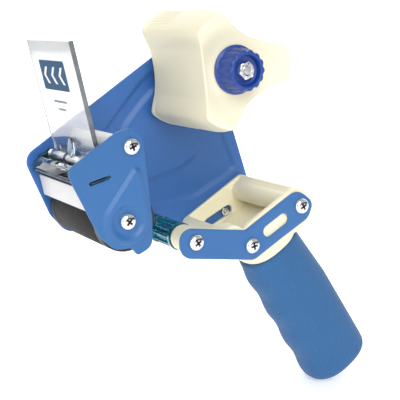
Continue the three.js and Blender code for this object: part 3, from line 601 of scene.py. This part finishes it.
# --------------------------------------------------------------------- screws
def screw_mesh():
    prof = [(0.0, -0.02), (5.7, -0.02), (5.95, 0.15), (6.0, 0.45)] + [(6.0 * math.cos(t) ** 0.75, 0.45 + 2.75 * math.sin(t) ** 1.0) for t in np.radians([12, 24, 36, 48, 60, 70, 80])] + [(0.0, 3.2)]
    bm = bmesh.new()
    seg = 64
    rows = []
    for r, y in prof:
        rows.append([bm.verts.new((r * math.cos(2 * math.pi * i / seg) / 1000, y / 1000, r * math.sin(2 * math.pi * i / seg) / 1000)) for i in range(seg)])
    for a, b in zip(rows, rows[1:]):
        for i in range(seg):
            k = (i + 1) % seg
            bm.faces.new((a[i], a[k], b[k], b[i]))
    bmesh.ops.remove_doubles(bm, verts=bm.verts, dist=1e-6)
    bmesh.ops.recalc_face_normals(bm, faces=bm.faces)
    me = bpy.data.meshes.new("screw_head")
    bm.to_mesh(me)
    bm.free()
    # tapered cross recess, lined with a near-black material: painted shade inside the cross
    cb = bmesh.new()
    for ang in (0, math.pi / 2):
        vs = []
        for (L, w, y) in ((1.0, 0.45, 1.15), (3.35, 0.80, 3.6)):
            for sx, sz in ((-1, -1), (1, -1), (1, 1), (-1, 1)):
                x, z = sx * L, sz * w
                vs.append(cb.verts.new(((x * math.cos(ang) - z * math.sin(ang)) / 1000, y / 1000, (x * math.sin(ang) + z * math.cos(ang)) / 1000)))
        cb.faces.new(vs[:4][::-1])
        cb.faces.new(vs[4:])
        for i in range(4):
            k = (i + 1) % 4
            cb.faces.new((vs[i], vs[k], vs[4 + k], vs[4 + i]))
    bmesh.ops.recalc_face_normals(cb, faces=cb.faces)
    me.materials.append(M["chrome"])
    cm = bpy.data.meshes.new("cross")
    cm.materials.append(M["recess"])
    cb.to_mesh(cm)
    cb.free()
    for p in cm.polygons:
        p.material_index = 0
    a = bpy.data.objects.new("screw_tmp", me)
    b = bpy.data.objects.new("cross_tmp", cm)
    for o in (a, b):
        bpy.context.scene.collection.objects.link(o)
    md = a.modifiers.new("cut", "BOOLEAN")
    md.object = b
    md.operation = "DIFFERENCE"
    md.solver = "EXACT"
    md.use_self = True
    md.material_mode = "TRANSFER"
    dg = bpy.context.evaluated_depsgraph_get()
    res = bpy.data.meshes.new_from_object(a.evaluated_get(dg))
    for o in (a, b):
        bpy.data.objects.remove(o)
    return res


SCREW = screw_mesh()


def place_screw(node, c, side, turn, k=0.867):
    base = NEAR_OUT + 0.25 if side > 0 else FAR_OUT - 0.25
    if node == "side_screw_roller":
        base = NEAR_OUT + 0.25
    bm = bmesh.new()
    bm.from_mesh(SCREW)
    rot = Matrix.Rotation(math.radians(turn), 4, "Y")
    if side < 0:
        rot = Matrix.Rotation(math.pi, 4, "Z") @ rot
    bmesh.ops.transform(bm, matrix=Matrix.Translation(Vector(W((c[0], base, c[1])))) @ rot @ Matrix.Diagonal((k, 0.95, k, 1)), verts=bm.verts)
    ob = finish_mesh(node + "_domed", bm, "chrome", "frame", [node], smooth=28)
    # second slot: the near-black painted-shade lining of the cross recess
    ob.data.materials.append(M["recess"])
    return ob


for node, c, s, t in (("side_screw_top", GUIDE, 1, 20), ("side_screw_roller", ROLLER, 1, 50), ("bracket_screw_front", IDLER, 1, 35), ("bracket_screw_mid", MID, 1, 10), ("bracket_screw_rear", REAR, 1, 30),
                      ("far_screw_top", GUIDE, -1, 5), ("far_screw_roller", ROLLER, -1, 40), ("far_screw_front", IDLER, -1, 70), ("far_screw_mid", MID, -1, 25), ("far_screw_rear", REAR, -1, 60)):
    place_screw(node, c, s, t)

# -------------------------------------------------------------------- rollers
def ring_tube(name, c, ri, ro, y0, y1, e, mat, body, nodes, seg=128, extra=()):
    prof = [(ri, y0 + e * 0.5), (ri + e * 0.5, y0), (ro - e, y0), (ro - 0.3 * e, y0 + 0.3 * e), (ro, y0 + e)] + list(extra) + [(ro, y1 - e), (ro - 0.3 * e, y1 - 0.3 * e), (ro - e, y1), (ri + e * 0.5, y1), (ri, y1 - e * 0.5)]
    V, F = lathe(prof, c, seg, closed=True)
    return build(name, V, F, mat, body, nodes, smooth=50)


sleeve = ring_tube("roller_sleeve_rubber", ROLLER, 14.3, 19.0, -70.9, -7.3, 0.6, "rubber", "roller", ["roller_sleeve"])
for nm, a, s in (("roller_flange_near", -1.4, 1), ("roller_flange_far", -76.8, -1)):
    p = [(2.8, a), (2.8, a - s * 9), (9.0, a - s * 9), (9.0, a - s * 2.0), (14.5, a - s * 2.0), (14.5, a - s * 5.7), (18.4, a - s * 5.7), (18.75, a - s * 5.5), (18.95, a - s * 5.2), (18.95, a - s * 0.9), (18.9, a - s * 0.6), (18.6, a - s * 0.2), (18.0, a)]
    V, F = lathe(p, ROLLER, 128, closed=True)
    build(nm + "_disc", V, F, "black", "roller", [nm], smooth=40)
ring_tube("guide_roller_tube", GUIDE, 2.9, 5.0, -76.6, -1.6, 0.5, "white", "guide", ["guide_roller"], 64)
# translucent idler: a ribbed tube
prof = []
ye = np.linspace(-76.0, -18.8, 9)
NI = 120
ai = np.arange(NI) * 2 * math.pi / NI
rib = np.clip(np.cos(10 * ai), -0.2, 1) ** 1


def iring(r, d, y):
    rr = r - d * (1 - (np.clip(rib, 0, 1) ** 0.5))
    return [(float(IDLER[0] + rr[i] * math.cos(ai[i])), y, float(IDLER[1] + rr[i] * math.sin(ai[i]))) for i in range(NI)]


ir = [iring(2.9, 0, -76.4), iring(8.6, 0, -76.6), iring(9.0, 0, -76.2), iring(9.0, 0, -74.2), iring(8.8, 0, -73.9)]
ir += [iring(8.6, 2.3, y) for y in (-73.4, -60, -48.6)] + [iring(8.9, 0, -48.2), iring(8.9, 0, -46.4)] + [iring(8.6, 2.3, y) for y in (-46.0, -34, -21.4)]
ir += [iring(8.8, 0, -21.0), iring(9.0, 0, -20.6), iring(9.0, 0, -18.6), iring(8.6, 0, -18.2), iring(2.9, 0, -18.4)]
V, F = loft_vf(ir, closed=True)
build("idler_roller_ribbed", V, F, "teal", "idler", ["idler_roller"], smooth=30)

# -------------------------------------------------------------- handle, foam
GT, GA, GP, GY = np.array([-35.5, -119.3]), np.array([-0.554, -0.8325]), np.array([0.8325, -0.554]), -22.0


def grip_ring(s, k=1.0, n=96, grow=0.0):
    f = 22.6 + 0.75 * math.cos(2 * math.pi * (s - 16) / 27) + 0.012 * s if s >= 0 else 20.8
    f -= 0.55 * math.exp(-((s - 3) / 6.0) ** 2)
    b = 21.4 + 3.4 * min(1, max(0, s / 40))
    h = 19.4
    out = []
    for i in range(n):
        t = 2 * math.pi * i / n
        c, d, e = math.cos(t), math.sin(t), 0.84
        w = ((f if c > 0 else b) + grow) * k * math.copysign(abs(c) ** e, c)
        y = (h + grow) * k * math.copysign(abs(d) ** e, d)
        out.append((GT[0] + s * GA[0] + w * GP[0], GY + y, GT[1] + s * GA[1] + w * GP[1]))
    return out


gr = [grip_ring(0.6, 0.63), grip_ring(-0.3, 0.67), grip_ring(-0.5, 0.90), grip_ring(-0.3, 0.955), grip_ring(0.5, 0.985), grip_ring(2.0, 1.0)]
gr += [grip_ring(s) for s in np.arange(4, 99.5, 1.9)]
ea, ek = np.radians([0, 20.7, 39.4, 55.4, 68.3, 77.5, 84, 90]), [1, 0.99, 0.955, 0.89, 0.78, 0.6, 0.36, 0.12]
for a in range(4, 91, 5):
    gr.append(grip_ring(100 + 8.5 * math.sin(math.radians(a)), float(np.interp(math.radians(a), ea, ek))))
V, F = loft_vf(gr)
foam = build("foam_grip_sleeve", V, F, "foam", "frame", ["foam_grip"], smooth=60)

# cream body: the moulding with softened edges; its stem is inside the foam
src = NODES["handle_body"].data
bm = bmesh.new()
bm.from_mesh(src)
bmesh.ops.remove_doubles(bm, verts=bm.verts, dist=1e-6)
o = Vector(W((GT[0] + 10 * GA[0], 0, GT[1] + 10 * GA[1])))
res = bmesh.ops.bisect_plane(bm, geom=bm.verts[:] + bm.edges[:] + bm.faces[:], plane_co=o, plane_no=Vector((GA[0], 0, GA[1])), clear_outer=True)
bmesh.ops.holes_fill(bm, edges=[e for e in bm.edges if e.is_boundary])
me = bpy.data.meshes.new("body_tmp")
bm.to_mesh(me)
bm.free()
tmp = bpy.data.objects.new("body_tmp", me)
bpy.context.scene.collection.objects.link(tmp)
rm = tmp.modifiers.new("rm", "REMESH")
rm.mode = "VOXEL"
rm.voxel_size = 0.0006
smo = tmp.modifiers.new("sm", "SMOOTH")
smo.factor = 0.5
smo.iterations = 7
dg = bpy.context.evaluated_depsgraph_get()
ev = bpy.data.meshes.new_from_object(tmp.evaluated_get(dg))
bpy.data.objects.remove(tmp)
bm = bmesh.new()
bm.from_mesh(ev)
body = finish_mesh("handle_body_moulding", bm, "cream", "frame", ["handle_body"], smooth=60)

# --------------------------------------------- small pieces with eased edges
def remake(node, mat, width=0.0, seg=2, body="frame", smooth=30, crease=32, dissolve=1.0, cuts=()):
    ob = NODES[node]
    bm = bmesh.new()
    bm.from_mesh(ob.data)
    bm.transform(ob.matrix_world)
    bmesh.ops.remove_doubles(bm, verts=bm.verts, dist=1e-6)
    if dissolve:
        bmesh.ops.dissolve_limit(bm, angle_limit=math.radians(dissolve), verts=bm.verts, edges=bm.edges)
    if width:
        ed = [e for e in bm.edges if len(e.link_faces) == 2 and e.calc_face_angle(0) > math.radians(crease)]
        bmesh.ops.bevel(bm, geom=ed, offset=width / 1000, segments=seg, profile=0.5, affect="EDGES", clamp_overlap=True)
    for z in cuts:
        bmesh.ops.bisect_plane(bm, geom=bm.verts[:] + bm.edges[:] + bm.faces[:], plane_co=Vector(W((0, 0, z))), plane_no=Vector((0, 0, 1)))
    return finish_mesh(node + "_fine", bm, mat, body, [node], smooth)


remake("wiper_panel", "white", 0.3, 3)
# blade bridge in dark steel with a painted-shade blue tone
remake("blade_bridge", "bridge_shade_blue", 0.15, 2)
remake("cutting_blade", "blade", 0.08, 1)
flap = remake("tape_flap", "flap", 0.22, 2, "flap", smooth=25, cuts=(-38, -20, 0))
flap.data.materials.append(M["flap_edge_shade"])
for p in flap.data.polygons:          # painted shade: the sheet's side and top edge faces above the lowest cut take a dark tint, as its cut edges read darker than its faces
    n, c = p.normal, p.center
    if c.z * 1000 - SH[2] > -38 and (abs(n.y) > 0.5 or n.z > 0.6):
        p.material_index = 1
remake("blade_guard", "clearblue", 0.25, 2, "guard")
for n, bd in (("flap_pin", "frame"), ("guard_pin", "frame"), ("roller_axle", "frame"), ("guide_axle", "frame"), ("idler_axle", "frame"), ("drag_washer", "frame"), ("drag_spring", "frame")):
    remake(n, "zinc", 0.12, 1, bd, smooth=40)
remake("roller_core", "black", 0.2, 1, "roller", smooth=40)
remake("tray_stud", "chrome", 0.15, 2)


def coil(name, c, r, wire, y0, y1, turns, node, legs=()):
    per, sides = 28, 10
    n = int(turns * per)
    pts = [Vector((c[0] + r * math.cos(2 * math.pi * i / per), y0 + (y1 - y0) * i / n, c[1] + r * math.sin(2 * math.pi * i / per))) for i in range(n + 1)]
    rings = []
    for i, p in enumerate(pts):
        t = (pts[min(i + 1, n)] - pts[max(i - 1, 0)]).normalized()
        o = Vector((p.x - c[0], 0, p.z - c[1])).normalized()
        b = t.cross(o).normalized()
        rings.append([tuple(p + o * wire * math.cos(2 * math.pi * k / sides) + b * wire * math.sin(2 * math.pi * k / sides)) for k in range(sides)])
    V, F = loft_vf(rings)
    return build(name, V, F, "zinc", "frame", [node], smooth=60)


coil("flap_spring_coil", FLAP_PIN, 2.7, 0.4, -46.5, -31.5, 12, "flap_spring")
coil("guard_spring_coil", GUARD_PIN, 1.9, 0.32, -44.6, -35.4, 9, "guard_spring")


# ------------------------------------ generic mark and rivet boss on the flap
def flap_plate(name, pts_yz, off, thick, mat):
    """a thin printed patch on the front face of the flap; pts are (y, height along the flap)."""
    a, b = np.array([110.3, 18.6]), np.array([96.3, -40.0])
    d = (b - a) / np.linalg.norm(b - a)
    n = np.array([-d[1], d[0]])
    if n[0] < 0:
        n = -n
    P = ccw(np.asarray(pts_yz, float))
    V = []
    for t in (off, off + thick):
        for y, s in P:
            q = a + d * s + n * (1.5 + t)
            V.append((q[0], y, q[1]))
    k = len(P)
    F = [tuple(range(k)), tuple(range(k, 2 * k))] + [(i, (i + 1) % k, k + (i + 1) % k, k + i) for i in range(k)]
    return build(name, V, F, mat, "flap", (), smooth=30)


def rect(y0, y1, s0, s1, r=0.8, n=5):
    return rounded([(y0, s0, r), (y1, s0, r), (y1, s1, r), (y0, s1, r)], n)


flap_plate("flap_mark_panel", rect(-60.5, -20.5, 12.0, 30.5, 1.0), 0.02, 0.06, "print_blue")
for i, (y0, y1) in enumerate(((-56.5, -48.5), (-44.5, -36.5), (-32.5, -24.5))):
    flap_plate("flap_mark_chevron_%d" % i, [(y1, 16.0), (y1 - 3.2, 16.0), (y0, 21.2), (y1 - 3.2, 26.5), (y1, 26.5), (y0 + 3.2, 21.2)], 0.10, 0.04, "print_white")
flap_plate("flap_mark_bar_1", rect(-50.5, -30.5, 37.0, 38.4, 0.4, 3), 0.02, 0.05, "print_grey")
flap_plate("flap_mark_bar_2", rect(-46.5, -34.5, 42.0, 43.2, 0.4, 3), 0.02, 0.05, "print_grey")

# rounded finger boss on the flap's lower front
def boss_disc(name, c, rad, x0, x1, mat, body):
    rings = []
    seg = 48
    for r, x in ((rad * 0.9, x0), (rad, x0 + 0.3), (rad, x1 - 0.4), (rad * 0.93, x1 - 0.08), (rad * 0.8, x1)):
        rings.append([(x, c[0] + r * math.cos(2 * math.pi * i / seg), c[1] + r * 1.35 * math.sin(2 * math.pi * i / seg)) for i in range(seg)])
    V, F = loft_vf(rings)
    return build(name, V, F, mat, body, (), smooth=35)


boss_disc("flap_finger_boss", (-38.0, -46.2), 4.6, 96.4, 98.6, "clearblue", "flap")

# ------------------------------------------------------- stage, light, camera
def studio():
    n = 24
    prof = [(-2.2, 0.0), (1.2, 0.0)] + [(1.2 + 0.9 * math.sin(math.radians(a)), 0.9 - 0.9 * math.cos(math.radians(a))) for a in range(10, 91, 10)] + [(2.1, 3.2)]
    d = Vector((-math.sin(0.5125193), -math.cos(0.5125193), 0))
    s = Vector((-d.y, d.x, 0))
    bm = bmesh.new()
    rows = []
    for t, z in prof:
        rows.append([bm.verts.new(d * t + s * w + Vector((0, 0, z - 0.0006))) for w in (-3.5, 3.5)])
    for a, b in zip(rows, rows[1:]):
        bm.faces.new((a[0], a[1], b[1], b[0]))
    bmesh.ops.recalc_face_normals(bm, faces=bm.faces)
    me = bpy.data.meshes.new("studio_sweep")
    bm.to_mesh(me)
    bm.free()
    me.polygons.foreach_set("use_smooth", [True] * len(me.polygons))
    ob = bpy.data.objects.new("studio_sweep", me)
    bpy.context.scene.collection.objects.link(ob)
    m = new_mat("studio_white", (0.90, 0.90, 0.90), 0.9, var=0.003)
    b = next(n for n in m.node_tree.nodes if n.type == "BSDF_PRINCIPLED")
    b.inputs["Emission Color"].default_value = (1, 1, 1, 1)
    b.inputs["Emission Strength"].default_value = 0.34
    me.materials.append(m)


studio()
bpy.context.scene.view_settings.view_transform = "Standard"
w = bpy.data.worlds.new("studio")
bpy.context.scene.world = w
w.use_nodes = True
nt = w.node_tree
bg = nt.nodes.get("Background") or nt.nodes.new("ShaderNodeBackground")
tcw = nt.nodes.new("ShaderNodeTexCoord")
sepw = nt.nodes.new("ShaderNodeSeparateXYZ")
nt.links.new(tcw.outputs["Generated"], sepw.inputs[0])
rw = nt.nodes.new("ShaderNodeValToRGB")
els = rw.color_ramp.elements
els[0].position, els[0].color = 0.0, (0.9, 0.9, 0.9, 1)
els[1].position, els[1].color = 1.0, (0.55, 0.55, 0.55, 1)
for p, v in ((0.03, 0.62), (0.10, 0.12), (0.26, 0.16), (0.34, 0.85), (0.52, 0.75)):
    e = els.new(p)
    e.color = (v, v, v, 1)
nt.links.new(sepw.outputs["Z"], rw.inputs["Fac"])
nt.links.new(rw.outputs["Color"], bg.inputs["Color"])
bg.inputs[1].default_value = 0.74


def area(name, loc, target, size, power, col=(1, 1, 1)):
    L = bpy.data.lights.new(name, "AREA")
    L.shape = "RECTANGLE"
    L.size, L.size_y = size
    L.energy = power
    L.color = col
    o = bpy.data.objects.new(name, L)
    o.location = loc
    o.rotation_euler = (Vector(target) - Vector(loc)).to_track_quat("-Z", "Y").to_euler()
    bpy.context.scene.collection.objects.link(o)


sun_d = bpy.data.lights.new("soft_key", "SUN")
sun_d.energy = 1.9
sun_d.angle = math.radians(50)
sun = bpy.data.objects.new("soft_key", sun_d)
sun.rotation_euler = Vector((-0.30, -0.82, -0.45)).to_track_quat("-Z", "Y").to_euler()
bpy.context.scene.collection.objects.link(sun)
area("fill", (0.95, 0.35, 0.35), (0, 0, 0.12), (0.35, 0.5), 1.0)
area("back_wash", (-0.9, -1.2, 1.5), (-0.9, -1.9, 0.0), (2.0, 2.0), 14)

cam_d = bpy.data.cameras.new("camera")
cam_d.sensor_width = 36
cam_d.lens = 90.0
cam_d.clip_start = 0.01
cam = bpy.data.objects.new("camera", cam_d)
bpy.context.scene.collection.objects.link(cam)
psi, el = 0.5125193471516042, 0.17502733042517093
look = Vector((-math.sin(psi) * math.cos(el), -math.cos(psi) * math.cos(el), -math.sin(el)))
right = look.cross(Vector((0, 0, 1))).normalized()
up = right.cross(look).normalized()
cam.matrix_world = Matrix.Translation(Vector(W((327.2236, 530.5198, 28.5772)))) @ Matrix((right, up, -look)).transposed().to_4x4()
bpy.context.scene.camera = cam
